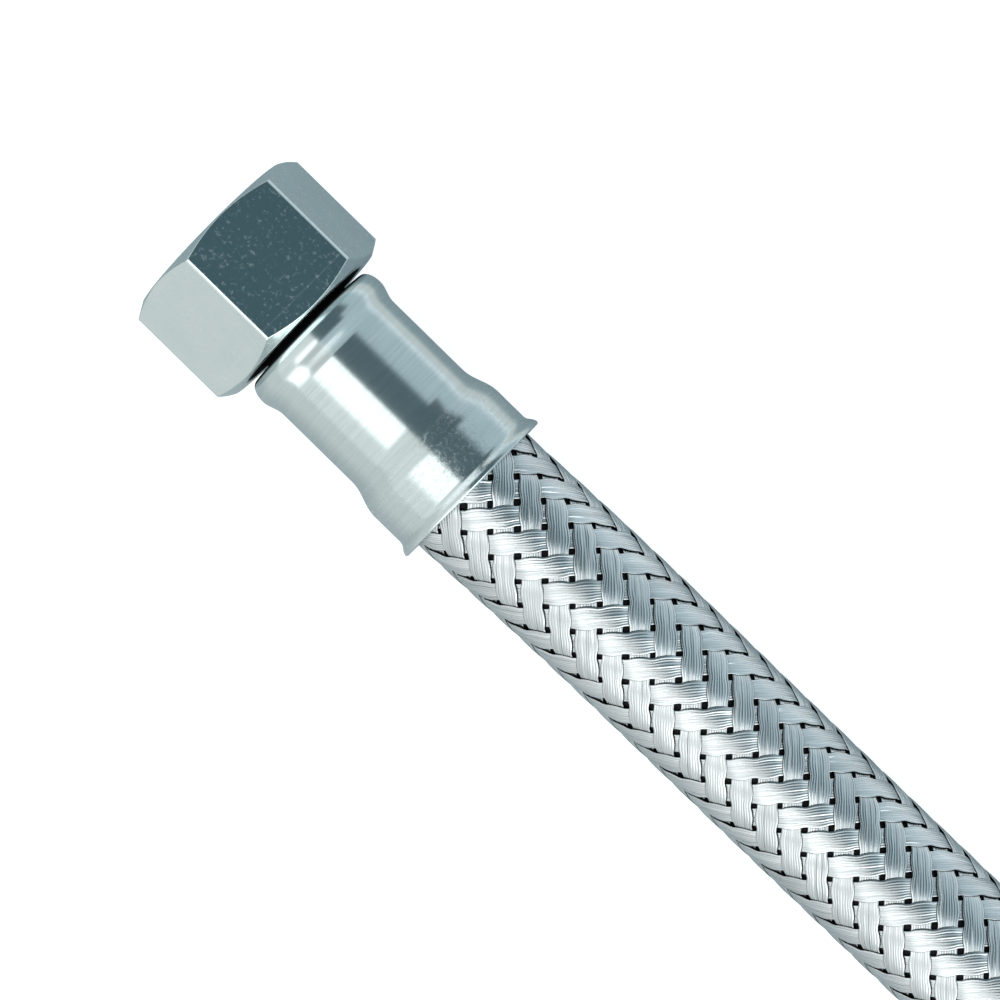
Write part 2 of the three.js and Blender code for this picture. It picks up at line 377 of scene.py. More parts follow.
# %% Studio patches
Patch = namedtuple("Patch", "color roll roll_soft reach reach_soft")
PATCHES = {
    "low light": Patch(
        color=(2.7, 2.7, 2.7, 1),
        roll=(-120, -58),
        roll_soft=(8, 8),
        reach=(0.36, 1.3),
        reach_soft=0.24,
    ),
    "dark corner": Patch(
        color=(0.1, 0.14, 0.16, 1),
        roll=(26, 50),
        roll_soft=(5, 6),
        reach=(-1.3, -0.15),
        reach_soft=0.1,
    ),
    "ceiling": Patch(
        color=(0.075, 0.13, 0.155, 1),
        roll=(-15, 33),
        roll_soft=(1.2, 6),
        reach=(-0.78, 0.2),
        reach_soft=0.08,
    ),
    "dimmer side": Patch(
        color=(0.75, 0.75, 0.75, 1),
        roll=(-58, -15.5),
        roll_soft=(6, 1),
        reach=(0.05, 1.3),
        reach_soft=0.1,
    ),
    "soft box": Patch(
        color=(1.9, 1.9, 1.9, 1),
        roll=(-58, -15.5),
        roll_soft=(6, 1),
        reach=(-0.2, 0.15),
        reach_soft=0.1,
    ),
    "end lamp": Patch(
        color=(2.5, 2.5, 2.5, 1),
        roll=(-60, 24),
        roll_soft=(5, 6),
        reach=(0.62, 1.3),
        reach_soft=0.1,
    ),
}


def within(value, limits, soft):
    """1 inside the limits and 0 outside, each limit softened by its own amount."""
    enters = smooth_step(sky, value, limits[0] - soft[0], limits[0] + soft[0])
    leaves = smooth_step(sky, value, limits[1] - soft[1], limits[1] + soft[1], start=1.0, end=0.0)
    return calculate(sky, "MULTIPLY", enters, leaves)


for patch in PATCHES.values():
    in_roll = within(roll, patch.roll, patch.roll_soft)
    in_reach = within(reach, patch.reach, (patch.reach_soft, patch.reach_soft))
    room = mix_color(sky, calculate(sky, "MULTIPLY", in_roll, in_reach), room, patch.color)
background = add_node(sky, "ShaderNodeBackground", {"Color": room})
add_node(sky, "ShaderNodeOutputWorld", {"Surface": background.outputs[0]})
print("studio:", ", ".join(PATCHES))

# %% [markdown]
# The hose lies on a plain pale floor, a large flat sheet of paper that shows soft shadows. Beside the
# hose a painted shadow greys the paper, most on the side away from the soft box, and the metal's far
# side mirrors it as its darker tones. Where the camera sees the paper it gets a little light of its own,
# more on the painted shadow, so that the whole sheet looks as white as the page of a catalogue. Where
# the metal mirrors it, it gets hardly any.

# %% Floor
FLOOR_HALF = 6
FLOOR_DROP = 0.02 * MM
PAPER_COLOR = (0.93, 0.9, 0.88, 1)
# Painted shadow: beside the hose the paper is greyed towards this colour, standing in for the hose's
# shadow.
PAINTED_SHADOW_COLOR = (0.41, 0.49, 0.52, 1)
PAINTED_SHADOW_FROM = -44 * MM
PAINTED_SHADOW_FULL = 2 * MM
PAINTED_SHADOW_FADES = 40 * MM
PAINTED_SHADOW_ENDS = 82 * MM
SEEN_LIFT = 0.42
PAINTED_SHADOW_LIFT = 0.42
MIRRORED_LIFT = 0.03

corners = [(-1, -1), (1, -1), (1, 1), (-1, 1)]
floor_points = [(x * FLOOR_HALF, y * FLOOR_HALF, -FLOOR_DROP) for x, y in corners]
floor_mesh = bpy.data.meshes.new("floor")
floor_mesh.from_pydata(floor_points, [], [(0, 1, 2, 3)])
floor = bpy.data.objects.new("floor", floor_mesh)
bpy.context.scene.collection.objects.link(floor)

floor_paper = bpy.data.materials.new("floor_paper")
paper = empty_tree(floor_paper)
spot = add_node(paper, "ShaderNodeTexCoord").outputs["Object"]
outward = add_node(paper, "ShaderNodeSeparateXYZ", {0: spot}).outputs["Y"]
# The painted shadow's mask: it rises across the hose, stays full on its far side and fades out farther off.
shadow_begins = smooth_step(paper, outward, PAINTED_SHADOW_FROM, PAINTED_SHADOW_FULL)
shadow_stays = smooth_step(paper, outward, PAINTED_SHADOW_FADES, PAINTED_SHADOW_ENDS, start=1.0, end=0.0)
painted_shadow = calculate(paper, "MULTIPLY", shadow_begins, shadow_stays)
paper_and_painted_shadow = mix_color(paper, painted_shadow, PAPER_COLOR, PAINTED_SHADOW_COLOR)
matte = add_node(paper, "ShaderNodeBsdfDiffuse", {"Color": paper_and_painted_shadow})
rays = add_node(paper, "ShaderNodeLightPath").outputs
seen = smooth_step(paper, painted_shadow, 0, 1, start=SEEN_LIFT, end=SEEN_LIFT + PAINTED_SHADOW_LIFT)
seen = calculate(paper, "MULTIPLY", rays["Is Camera Ray"], seen)
mirrored = calculate(paper, "MAXIMUM", rays["Is Glossy Ray"], rays["Is Transmission Ray"])
mirrored = calculate(paper, "MULTIPLY", mirrored, MIRRORED_LIFT)
lift = add_node(paper, "ShaderNodeEmission", {"Strength": calculate(paper, "ADD", seen, mirrored)})
both = add_node(paper, "ShaderNodeAddShader", {0: matte.outputs[0], 1: lift.outputs[0]})
add_node(paper, "ShaderNodeOutputMaterial", {"Surface": both.outputs[0]})
floor.data.materials.append(floor_paper)
print(f"floor {2 * FLOOR_HALF} m wide")

# %% [markdown]
# The swivel nut and the ferrule look alike but are different metals. Both are bare, so the colour is the
# tint of their reflection, and the character is in the roughness. An image of metal would have to be
# fitted round every corner, so noise draws the marks of the tools instead, stretched into fine lines. In
# the narrow gap between nut and ferrule both are painted near black, a painted shade for the gap's shadow.

# %% Metal helpers
# Painted shade: a dull near-black colour, not metal, for the shadow in the gap between nut and ferrule.
GAP_SHADE_COLOR = (0.008, 0.009, 0.01, 1)
NON_METAL_SHINE = 0.05
finishes = {}


def metal_place(tree):
    """Where a point is on its piece, and how far in from its nut's mouth."""
    place = add_node(tree, "ShaderNodeTexCoord").outputs["Object"]
    sideways = add_node(tree, "ShaderNodeSeparateXYZ", {0: place}).outputs["X"]
    from_middle = calculate(tree, "ABSOLUTE", sideways)
    return place, calculate(tree, "SUBTRACT", half_length, from_middle)


def noise(tree, place, scale, detail, stretch=(1, 1, 1)):
    """Noise between 0 and 1. A stretch that is largest along the axis draws fine rings round it."""
    stretched = add_node(tree, "ShaderNodeMapping", {"Vector": place, "Scale": stretch}).outputs[0]
    inputs = {"Vector": stretched, "Scale": scale, "Detail": detail}
    return add_node(tree, "ShaderNodeTexNoise", inputs).outputs["Fac"]


def uneven(tree, shader, height, strength, depth):
    """Fine bumps on a surface, from a value that says how high each point is."""
    settings = {"Height": height, "Strength": strength, "Distance": depth}
    tree.links.new(add_node(tree, "ShaderNodeBump", settings).outputs[0], shader.inputs["Normal"])


def metal_surface(tree, shader, tint, dull, painted_shade, purity=1.0):
    """Bare metal, with dull near-black painted shade where shadow falls. A purity below 1 adds a haze."""
    tree.links.new(mix_color(tree, painted_shade, tint, GAP_SHADE_COLOR), shader.inputs["Base Color"])
    tree.links.new(calculate(tree, "MAXIMUM", dull, painted_shade), shader.inputs["Roughness"])
    unshaded = calculate(tree, "SUBTRACT", 1.0, painted_shade)
    tree.links.new(calculate(tree, "MULTIPLY", unshaded, purity), shader.inputs["Metallic"])
    shader.inputs["Specular IOR Level"].default_value = NON_METAL_SHINE


# %% [markdown]
# The nut is milled brass with a bright plating, cloudy and full of tiny specks, over the fine lines of
# the cutter. A thin dull line near its rear is the mark of the vice that held it. Painted shade darkens
# its rear face close round the neck, where the gap behind the nut holds shadow.

# %% Nut plating
PLATING_TINTS = ((0.6, 0.69, 0.69, 1), (0.69, 0.77, 0.76, 1))
VICE_MARK = 13.4 * MM
VICE_MARK_HALF = 0.11 * MM
VICE_DULLNESS = 0.1
NUT_SHADE_DEPTH = 0.3 * MM
NUT_SHADE_RADII = (9.2 * MM, 10.2 * MM)


def from_axis(tree, place):
    """How far a point on a fitting is from the hose's axis."""
    parts = add_node(tree, "ShaderNodeSeparateXYZ", {0: place})
    height = calculate(tree, "SUBTRACT", parts.outputs["Z"], axis_height)
    squares = [calculate(tree, "POWER", part, 2.0) for part in (height, parts.outputs["Y"])]
    return calculate(tree, "SQRT", calculate(tree, "ADD", *squares))


def nut_plating():
    material, tree, shader = new_material("nut_plating")
    place, inward = metal_place(tree)
    specks = noise(tree, place, scale=2100, detail=3)
    clouds = noise(tree, place, scale=300, detail=3)
    cutter = noise(tree, place, scale=1, detail=2, stretch=(4200, 300, 300))
    tint = mix_color(tree, clouds, *PLATING_TINTS)
    dull = smooth_step(tree, specks, low=0.52, high=0.72, start=0.13, end=0.34)
    vice = calculate(tree, "COMPARE", inward, VICE_MARK, VICE_MARK_HALF)
    dull = calculate(tree, "ADD", dull, calculate(tree, "MULTIPLY", vice, VICE_DULLNESS))
    # Painted shade on the nut's rear face, close round the neck, where the gap holds shadow.
    at_rear = smooth_step(tree, inward, nut_length - NUT_SHADE_DEPTH, nut_length)
    near_neck = smooth_step(tree, from_axis(tree, place), *NUT_SHADE_RADII, start=1.0, end=0.0)
    painted_shade = calculate(tree, "MULTIPLY", at_rear, near_neck)
    metal_surface(tree, shader, tint, dull, painted_shade)
    uneven(tree, shader, calculate(tree, "ADD", cutter, specks), strength=0.3, depth=0.01 * MM)
    return material


finishes["nut_plating"] = nut_plating()
print(f"nut plating, with the vice mark {VICE_MARK / MM:.1f} mm in")

# %% [markdown]
# The ferrule is thin stainless sheet, drawn and polished, with fine rings from the lathe. The press
# burnishes its shoulder and waist, so its specks are strong only on the skirt. A little haze, from a
# purity just below that of plain metal, softens its reflections. Painted shade darkens its front edge.

# %% Ferrule steel
STEEL_TINTS = ((0.55, 0.63, 0.63, 1), (0.61, 0.69, 0.69, 1))
STEEL_PURITY = 0.94
SPECKS_FROM = 34.5 * MM
SPECKS_FULL = 35.5 * MM
BURNISHED_SPECKS = 0.25
FERRULE_SHADE_FULL = ferrule_front + 0.2 * MM
FERRULE_SHADE_END = ferrule_front + 0.5 * MM


def ferrule_steel():
    material, tree, shader = new_material("ferrule_steel")
    place, inward = metal_place(tree)
    rings = noise(tree, place, scale=1, detail=3, stretch=(2300, 120, 120))
    specks = noise(tree, place, scale=2300, detail=3)
    on_skirt = smooth_step(tree, inward, SPECKS_FROM, SPECKS_FULL, start=BURNISHED_SPECKS, end=1.0)
    specks = calculate(tree, "MULTIPLY", specks, on_skirt)
    tint = mix_color(tree, smooth_step(tree, rings, low=0.3, high=0.7), *STEEL_TINTS)
    dull = smooth_step(tree, specks, low=0.46, high=0.74, start=0.17, end=0.34)
    # Painted shade at the ferrule's front edge, where the gap holds shadow.
    painted_shade = smooth_step(tree, inward, FERRULE_SHADE_FULL, FERRULE_SHADE_END, start=1.0, end=0.0)
    metal_surface(tree, shader, tint, dull, painted_shade, STEEL_PURITY)
    uneven(tree, shader, calculate(tree, "ADD", rings, specks), strength=0.5, depth=0.016 * MM)
    return material


finishes["ferrule_steel"] = ferrule_steel()
print(f"ferrule steel, with its specks from {SPECKS_FROM / MM:.1f} mm in")

# %% [markdown]
# The braid's wires are bright steel, each a little paler or darker than its neighbours, with painted
# shade in the grooves between them and along the bands' edges. Noise can't know where a groove is, so the
# mesh says it: every point of a strand carries a tone, painted shade included, and the finish turns that
# tone into a tint and a roughness.

# %% Braid wire
# The dark end of the tone: painted shade in the grooves, at the edges and underneath, and a little of every
# wire's own tone.
DARK_TONE_AND_SHADE_TINT = (0.01, 0.013, 0.016, 1)
WIRE_TINT = (0.86, 0.92, 0.93, 1)


def braid_wire():
    material, tree, shader = new_material("braid_wire")
    tone = add_node(tree, "ShaderNodeAttribute", attribute_name="wire_tone").outputs["Fac"]
    dull = smooth_step(tree, tone, low=0.6, high=1.0, start=0.3, end=0.22)
    tree.links.new(mix_color(tree, tone, DARK_TONE_AND_SHADE_TINT, WIRE_TINT), shader.inputs["Base Color"])
    tree.links.new(dull, shader.inputs["Roughness"])
    shader.inputs["Metallic"].default_value = 1.0
    return material


finishes["braid_wire"] = braid_wire()
print("braid wire, toned by the strands' own points")

# %% [markdown]
# The insert is turned brass that nobody polished, so it is dull, with close lathe marks. Its neck lies in
# the gap between nut and ferrule, so painted shade darkens it there.

# %% Insert brass
BRASS_TINTS = ((0.42, 0.31, 0.14, 1), (0.5, 0.39, 0.2, 1))
NECK_SHADE_HALF = 3 * MM


def insert_brass():
    material, tree, shader = new_material("insert_brass")
    place, inward = metal_place(tree)
    lathe_marks = noise(tree, place, scale=1, detail=2, stretch=(6000, 300, 300))
    dull = smooth_step(tree, lathe_marks, low=0.3, high=0.7, start=0.42, end=0.56)
    # Painted shade on the insert's neck, in the gap's shadow.
    painted_shade = calculate(tree, "COMPARE", inward, nut_length, NECK_SHADE_HALF)
    metal_surface(tree, shader, mix_color(tree, lathe_marks, *BRASS_TINTS), dull, painted_shade)
    return material


finishes["insert_brass"] = insert_brass()
print(f"insert brass, stained {NECK_SHADE_HALF / MM:.0f} mm to each side of the nut's rear")

# %% [markdown]
# The tube and the gaskets are black rubber. Rubber is not quite black and not quite matt: a fine grain
# breaks up a weak, wide shine.

# %% Rubber finish
TUBE_COLOR = (0.004, 0.004, 0.005, 1)
TUBE_GRAIN = 1500
GASKET_COLOR = (0.02, 0.021, 0.023, 1)
GASKET_GRAIN = 900
GRAIN_PALER = 1.6
RUBBER_SHINE = 0.2


def rubber(name, color, grain_scale):
    material, tree, shader = new_material(name)
    place = add_node(tree, "ShaderNodeTexCoord").outputs["Object"]
    grain = noise(tree, place, scale=grain_scale, detail=5)
    paler = tuple(GRAIN_PALER * channel for channel in color[:3]) + (1,)
    dull = smooth_step(tree, grain, low=0.3, high=0.7, start=0.55, end=0.75)
    tree.links.new(mix_color(tree, grain, color, paler), shader.inputs["Base Color"])
    tree.links.new(dull, shader.inputs["Roughness"])
    uneven(tree, shader, grain, strength=0.4, depth=0.05 * MM)
    shader.inputs["Specular IOR Level"].default_value = RUBBER_SHINE
    return material


finishes["tube_rubber"] = rubber("tube_rubber", TUBE_COLOR, TUBE_GRAIN)
finishes["gasket_rubber"] = rubber("gasket_rubber", GASKET_COLOR, GASKET_GRAIN)
print("finishes:", sorted(finishes))


# %% Dressing a piece
def dress(piece, finish, body, node):
    """Give a piece its finish and its body, and hide the solid that it stands for."""
    piece.data.materials.append(finishes[finish])
    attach(piece, body)
    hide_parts(node)


# %% [markdown]
# The inner tube is plain rubber hose. It shows only as black points between the strands, but they are
# what makes the braid read as a net over something dark. A curve with a round bevel would make a tube
# too, but without a bore, and without the squeeze where the ferrules grip it. The two gripped ends never
# move, so they are one piece of their own, and the free stretch between them is the cord.

# %% Inner tube
TUBE_BORE = 6.7 * MM
TUBE_RADIUS = 8.8 * MM
SQUEEZED_TUBE = 7.9 * MM
SQUEEZE_FROM = 34.1 * MM
SQUEEZE_TO = 37.1 * MM
FREE_FROM = 40.5 * MM
TUBE_COLUMNS = 72
END_RING_STEP = 1.0 * MM
FREE_RING_STEP = 2.0 * MM


def free_share(along):
    """0 where a ferrule squeezes the hose, 1 where it is free, and smooth between."""
    inward = np.minimum(along, hose_total - along)
    share = np.clip((inward - SQUEEZE_FROM) / (SQUEEZE_TO - SQUEEZE_FROM), 0, 1)
    return share * share * (3 - 2 * share)


def tube_net(low, high, step):
    """A closed tube between two places along the hose: rings along the outside and back along the bore."""
    along = np.linspace(low, high, int((high - low) / step) + 1)
    outside = SQUEEZED_TUBE + free_share(along) * (TUBE_RADIUS - SQUEEZED_TUBE)
    along = np.concatenate([along, along[::-1]])[:, None]
    radius = np.concatenate([outside, np.full(outside.shape, TUBE_BORE)])[:, None]
    angle = np.linspace(0, 2 * math.pi, TUBE_COLUMNS, endpoint=False)[None, :]
    return closed_net(on_hose(*np.broadcast_arrays(along, angle, radius)), loop_rows=True)


free_to = hose_total - FREE_FROM
free_tube = add_mesh("rubber_tube", [tube_net(FREE_FROM, free_to, FREE_RING_STEP)], SHARP_DEGREES)
dress(free_tube, "tube_rubber", "hose", "inner_tube")
gripped = [(hose_start, FREE_FROM), (free_to, axis_along[-1])]
gripped_nets = [tube_net(low, high, END_RING_STEP) for low, high in gripped]
gripped_ends = add_mesh("rubber_tube_ends", gripped_nets, SHARP_DEGREES)
dress(gripped_ends, "tube_rubber", "hose", "inner_tube")

# %% [markdown]
# The sleeve is braided from 24 strands of fine steel wire, 12 wound each way. Each strand goes over two
# of the others and under two, and every strand is a flat band of parallel wires. Bump mapping can't give
# the steps, the black holes and the raised outline, so the strands are real bands. A strand's place is
# counted in crossings, one for each strand of the other winding that it passes.

# %% Braid sizes
STRANDS = 12
STRAND_TURN = 2 * math.pi / STRANDS
STRAND_STEP = 4.298 * MM
BRAID_MIDDLE = 9.23 * MM
SQUEEZED_MIDDLE = 8.44 * MM
BRAID_FROM = 32.8 * MM
VIEW_ROLL = math.pi / 2 - ELEVATION
FIRST_CROSSING = (1.66 * MM, math.radians(0.8) - VIEW_ROLL)

braid_angle = math.degrees(math.atan2(STRAND_TURN * BRAID_MIDDLE, STRAND_STEP))
print(f"strands lie {braid_angle:.1f} degrees off the axis")

# %% [markdown]
# A band's section has a small flat-topped ridge for each wire, with grooves between them, edges that drop
# away and an underside that nobody sees. Each of its points knows its wire, and how much painted shade
# darkens it: a little in the grooves, most at the edges and all of the underside.

# %% Section of a band
WIRES = 8
WIRED_SHARE = 0.95
WIRE_TOP_HALF = 0.27 / WIRES
WIRE_RISE = 0.018 * MM
EDGE_DROP = 0.05 * MM
BAND_DEPTH = 0.13 * MM
UNDERSIDE = (0.42, 0.0, -0.42)
# Painted shade, from 0 to 1: how far each part of the section is darkened as shadow.
EDGE_SHADE = 0.85
OUTER_GROOVE_SHADE = 0.15
GROOVE_SHADE = 0.2
UNDERSIDE_SHADE = 1


def band_section():
    """Round a band: shares of its width, heights, the wire of each point, and each point's painted shade.
    """
    spread, height = [-0.5, -WIRED_SHARE / 2], [-EDGE_DROP, -WIRE_RISE]
    wire, dark = [0, 0], [EDGE_SHADE, OUTER_GROOVE_SHADE]
    for i in range(WIRES):
        middle = WIRED_SHARE * ((i + 0.5) / WIRES - 0.5)
        groove = WIRED_SHARE * ((i + 1) / WIRES - 0.5)
        spread += [middle - WIRE_TOP_HALF, middle + WIRE_TOP_HALF, groove]
        height += [WIRE_RISE, WIRE_RISE, -WIRE_RISE]
        wire += [i, i, i]
        dark += [0, 0, GROOVE_SHADE]
    dark[-1] = OUTER_GROOVE_SHADE
    spread += [0.5, *UNDERSIDE]
    height += [-EDGE_DROP] + [-BAND_DEPTH] * len(UNDERSIDE)
    wire += [WIRES - 1, WIRES - 1, WIRES // 2, 0]
    dark += [EDGE_SHADE] + [UNDERSIDE_SHADE] * len(UNDERSIDE)
    return np.array(spread), np.array(height), np.array(wire), np.array(dark)


print(f"a band's section has {len(band_section()[0])} points")

# %% [markdown]
# Hand-wound wire is never perfect. Each strand wanders a little, each wire in it wanders a little more,
# and some wires catch more light than others. Slow seeded noise along the strand gives that, the same on
# every run. A strand has five rows of points for each crossing, wide over the middle of the strand that
# it passes and narrow at the holes, where the crossing strands pinch it.

# %% Rows and wander
ROW_OFFSETS = np.array([-0.43, -0.22, 0, 0.22, 0.43])
ROW_WIDTHS = np.array([0.93, 1.05, 1.09, 1.05, 0.93])
WANDER_CROSSINGS = 5.0
chance = np.random.default_rng(24)


def wander(count, amount):
    """Slow smooth noise over count crossings, one value a row."""
    knots = chance.normal(0, amount, int(count / WANDER_CROSSINGS) + 4)
    place = np.arange(count * len(ROW_OFFSETS)) / len(ROW_OFFSETS) / WANDER_CROSSINGS
    low = place.astype(int)
    share = place - low
    share = share * share * (3 - 2 * share)
    return knots[low] * (1 - share) + knots[low + 1] * share


# %% [markdown]
# A strand is its section carried along the crossings, up over two strands and down under the next two.
# Its back is a little crowned, and its wires wander least at its edges, which keeps the outline of the
# band clean. A path with a bevel would give round wires of one height, at many times the points.

# %% One strand
BAND_SHARE = 0.835
WEAVE_RISE = 0.15 * MM
WEAVE_SHARPNESS = 3.0
BAND_CROWN = 0.05 * MM
STRAND_WANDER = 0.02
WIRE_WANDER = 0.1 / WIRES
WIRE_LIFT = 0.15
WIRE_TONE = 0.8
WIRE_TONE_SPREAD = 0.05
STRAND_TONE_SPREAD = 0.02


def over_and_under(crossing):
    """+1 where the strand lies over two others, -1 where it lies under two."""
    wave = np.sin(math.pi * (crossing - 0.5) / 2)
    return np.tanh(WEAVE_SHARPNESS * wave) / math.tanh(WEAVE_SHARPNESS)


def strand(number, winding):
    """One strand's net and its points' tones. Its winding is +1 or -1, one for each way round."""
    first, last = BRAID_FROM, hose_total - BRAID_FROM
    start_along, start_angle = FIRST_CROSSING
    ends = sorted(2 * number + winding * 2 * (end - start_along) / STRAND_STEP for end in (first, last))
    crossings = np.arange(math.ceil(ends[0]), math.floor(ends[1]) + 1)
    count = len(crossings)
    crossing = (crossings[:, None] + ROW_OFFSETS[None, :]).reshape(-1, 1)
    spread, height, wire, dark = band_section()
    width = BAND_SHARE * (np.tile(ROW_WIDTHS, count) + wander(count, STRAND_WANDER))[:, None]
    wires = np.stack([wander(count, WIRE_WANDER) for _ in range(WIRES)], axis=1)
    inside = 1 - np.abs(2 * spread) ** 6
    offset = wander(count, STRAND_WANDER)[:, None] + width * (spread + wires[:, wire] * inside)
    lift = np.stack([wander(count, WIRE_LIFT) for _ in range(WIRES)], axis=1)[:, wire] * WIRE_RISE
    angle = start_angle + (crossing + offset) * STRAND_TURN / 2
    along = start_along + winding * (crossing - 2 * number - offset) * STRAND_STEP / 2
    rise = -winding * WEAVE_RISE * over_and_under(crossing)
    crown = -BAND_CROWN * (2 * spread) ** 2
    middle = SQUEEZED_MIDDLE + free_share(along) * (BRAID_MIDDLE - SQUEEZED_MIDDLE)
    points = on_hose(along, angle, middle + rise + height + crown + lift * (height > 0))
    wire_tone = WIRE_TONE + chance.normal(0, WIRE_TONE_SPREAD, WIRES)[wire]
    strand_tone = chance.normal(0, STRAND_TONE_SPREAD)
    # Each point's tone is its wire's own, darkened by the section's painted shade.
    tone = np.clip(wire_tone + strand_tone, 0, 1) * (1 - dark)
    tones = np.broadcast_to(tone[None, :], points.shape[:2])
    if winding > 0:
        points, tones = points[:, ::-1], tones[:, ::-1]
    return points, tones.ravel()


# %% [markdown]
# The strands go into four pieces, half of the strands of each winding in each, which keeps every mesh to
# a sensible size. A point attribute carries each wire's tone to the material.

# %% Braid
strand_pieces = []
for winding in (1, -1):
    for half in (0, 1):
        parts, tones = [], []
        for number in range(half * STRANDS // 2, (half + 1) * STRANDS // 2):
            points, tone = strand(number, winding)
            parts.append(closed_net(points))
            tones.append(tone)
        piece = add_mesh(f"braid_strands_{len(strand_pieces) + 1}", parts)
        attribute = piece.data.attributes.new("wire_tone", "FLOAT", "POINT")
        attribute.data.foreach_set("value", np.concatenate(tones).astype(np.float32))
        strand_pieces.append(piece)
        dress(piece, "braid_wire", "hose", "braid_sleeve")

# %% [markdown]
# The ferrule starts as a thin stainless cap. A press shapes it: a rounded shoulder at the front, a waist
# squeezed onto the braid, a wider skirt and a flared lip that keeps the edge off the wires. The outline
# is the same as the solid's, with finer steps, and smooth runs between its levels.

# %% Ferrule sizes
WALL = 0.5 * MM
FLOOR_THICKNESS = 0.8 * MM
SHOULDER_FACE = 9 * MM
CREST_RADIUS = 10.13 * MM
WAIST_RADIUS = 9.5 * MM
SKIRT_RADIUS = 10.6 * MM
NECK_RADIUS = 6.6 * MM
NECK_HOLE = NECK_RADIUS + 0.3 * MM
CREST_AT = ferrule_front + 2.2 * MM
WAIST_FROM = CREST_AT + 2.8 * MM
WAIST_TO = WAIST_FROM + 11.7 * MM
SKIRT_FROM = WAIST_TO + 4.8 * MM
LIP_FROM = SKIRT_FROM + 4.4 * MM
print(f"ferrule's skirt from {SKIRT_FROM / MM:.1f} mm in, lip from {LIP_FROM / MM:.1f} mm in")


# %% Runs of an outline
def blended(start, end, along_shares, radius_shares):
    """Points from one (along, radius) place to the next, at the given shares of the way."""
    (along, radius), (along_end, radius_end) = start, end
    shares = zip(along_shares, radius_shares)
    return [(along + (along_end - along) * a, radius + (radius_end - radius) * r) for a, r in shares]


def straight(start, end, steps=6):
    """Evenly spaced points on a straight run."""
    share = np.arange(1, steps + 1) / steps
    return blended(start, end, share, share)


def eased(start, end, steps=14):
    """A run that starts and ends level."""
    share = np.arange(1, steps + 1) / steps
    return blended(start, end, share, (1 - np.cos(math.pi * share)) / 2)


def arc(centre, half_along, half_high, from_degrees, to_degrees, steps=8):
    """Points of a stretch of an ellipse."""
    turns = np.radians(np.linspace(from_degrees, to_degrees, steps + 1))
    return [(centre[0] + half_along * math.cos(t), centre[1] + half_high * math.sin(t)) for t in turns]


# %% Ferrules
shoulder_length = CREST_AT - ferrule_front
shoulder_height = CREST_RADIUS - SHOULDER_FACE
lip_edge = WALL / 2
lip_crest = (ferrule_rear - lip_edge, lip_radius)
lip_centre = (lip_crest[0], lip_radius - lip_edge)
ferrule_outside = [
    *arc((CREST_AT, SHOULDER_FACE), shoulder_length, shoulder_height, 180, 90, steps=20),
    *eased((CREST_AT, CREST_RADIUS), (WAIST_FROM, WAIST_RADIUS)),
    *straight((WAIST_FROM, WAIST_RADIUS), (WAIST_TO, WAIST_RADIUS)),
    *eased((WAIST_TO, WAIST_RADIUS), (SKIRT_FROM, SKIRT_RADIUS)),
    *straight((SKIRT_FROM, SKIRT_RADIUS), (LIP_FROM, SKIRT_RADIUS)),
    *eased((LIP_FROM, SKIRT_RADIUS), lip_crest),
]
floor_inside = ferrule_front + FLOOR_THICKNESS
ferrule_inside = [(along, radius - WALL) for along, radius in ferrule_outside if along > floor_inside]
ferrule_outline = [
    *ferrule_outside,
    *arc(lip_centre, lip_edge, lip_edge, 75, -75),
    *reversed(ferrule_inside),
    (floor_inside, SHOULDER_FACE),
    (floor_inside, NECK_HOLE),
    (ferrule_front, NECK_HOLE),
]
for side in ("left", "right"):
    ferrule = turned(f"steel_ferrule_{side}", ferrule_outline, side)
    dress(ferrule, "ferrule_steel", "hose", f"ferrule_{side}")

# %% [markdown]
# Inside each nut sits the insert: a brass flange with a neck that the nut turns on, and a barbed tail
# deep in the tube. The flat gasket lies on the flange. Both show through the nut's mouth, and the neck
# shows in the dark gap behind the nut. Both are turned from an outline, as the ferrule is.

# %% Outline of the insert
INSERT_BORE = 4.75 * MM
FLANGE_REAR = flange_front + 1.9 * MM
BARB_RADIUS = 6.3 * MM
BARB_FOOT = 5.75 * MM
BARB_PITCH = 4.6 * MM
BARB_TOP_SHARE = 0.2
BARB_SLOPE_SHARE = 0.85
TAIL_TAPER = 1.2 * MM
EDGE = 0.2 * MM


def insert_outline():
    """Flange, neck, barbs and tapered tail along the outside, then back along the bore."""
    outline = [
        (flange_front, flange_radius - EDGE),
        (flange_front + EDGE, flange_radius),
        (FLANGE_REAR - EDGE, flange_radius),
        (FLANGE_REAR, flange_radius - EDGE),
        (FLANGE_REAR, NECK_RADIUS),
        (floor_inside, NECK_RADIUS),
        (floor_inside, BARB_FOOT),
    ]
    barbs_end = tail_end - TAIL_TAPER
    barbs = int((barbs_end - hose_start) / BARB_PITCH)
    for i in range(barbs):
        start = barbs_end - (barbs - i) * BARB_PITCH
        outline.append((start, BARB_FOOT))
        outline.append((start, BARB_RADIUS))
        outline.append((start + BARB_PITCH * BARB_TOP_SHARE, BARB_RADIUS))
        outline.append((start + BARB_PITCH * BARB_SLOPE_SHARE, BARB_FOOT))
    outline.append((barbs_end, BARB_FOOT))
    outline.append((tail_end, (BARB_FOOT + INSERT_BORE) / 2))
    outline.append((tail_end, INSERT_BORE))
    outline.append((flange_front + EDGE, INSERT_BORE))
    outline.append((flange_front, INSERT_BORE + EDGE))
    return outline


# %% Inserts and gaskets
GASKET_BORE = 5.5 * MM
HIDDEN_COLUMNS = 96


